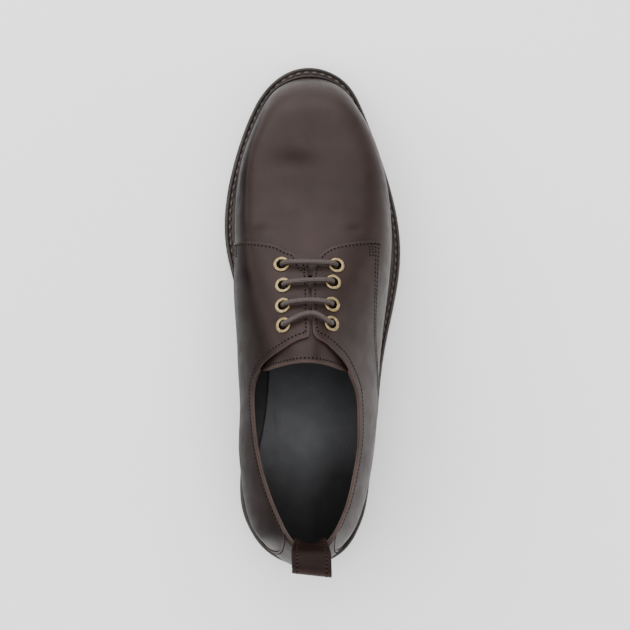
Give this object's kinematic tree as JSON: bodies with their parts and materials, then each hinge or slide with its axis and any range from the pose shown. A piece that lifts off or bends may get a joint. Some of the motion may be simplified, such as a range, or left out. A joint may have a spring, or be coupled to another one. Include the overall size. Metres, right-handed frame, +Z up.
{
  "type": "lace-up shoe",
  "caption": "Plain-toe derby lace-up shoe for the right foot: hollow leather upper with quarters, tongue, laced eyelets and a pull loop on a welted sole with a stacked heel.",
  "frame": {"origin": "on the floor under the middle of the shoe's box", "axes": "+X from heel to toe, +Y to the inner side of the right foot, +Z up; the shoe stands on its sole"},
  "size_m": [0.2712, 0.0972, 0.1008],
  "materials": {
    "upper_leather": "polished dark brown smooth calf",
    "insole_leather": "dark grey grained sock leather, satin",
    "outsole_rubber": "black, matt",
    "welt_rubber": "dark brown-black, satin, stitched",
    "heel_stack": "stacked leather, dyed dark and waxed",
    "eyelet_brass": "antique gold, satin",
    "lace_cord": "round waxed braid, brown"
  },
  "bodies": {
    "root": {"outsole": "outsole_rubber", "welt": "welt_rubber", "insole": "insole_leather", "heel_block": "heel_stack", "heel_top_piece": "outsole_rubber", "upper": "upper_leather", "tongue": "upper_leather", "pull_loop": "upper_leather", "eyelet_medial_1": "eyelet_brass", "eyelet_lateral_1": "eyelet_brass", "lace_bar_1": "lace_cord", "eyelet_medial_2": "eyelet_brass", "eyelet_lateral_2": "eyelet_brass", "lace_bar_2": "lace_cord", "eyelet_medial_3": "eyelet_brass", "eyelet_lateral_3": "eyelet_brass", "lace_bar_3": "lace_cord", "eyelet_medial_4": "eyelet_brass", "eyelet_lateral_4": "eyelet_brass", "lace_bar_4": "lace_cord"}
  },
  "joints": []
}
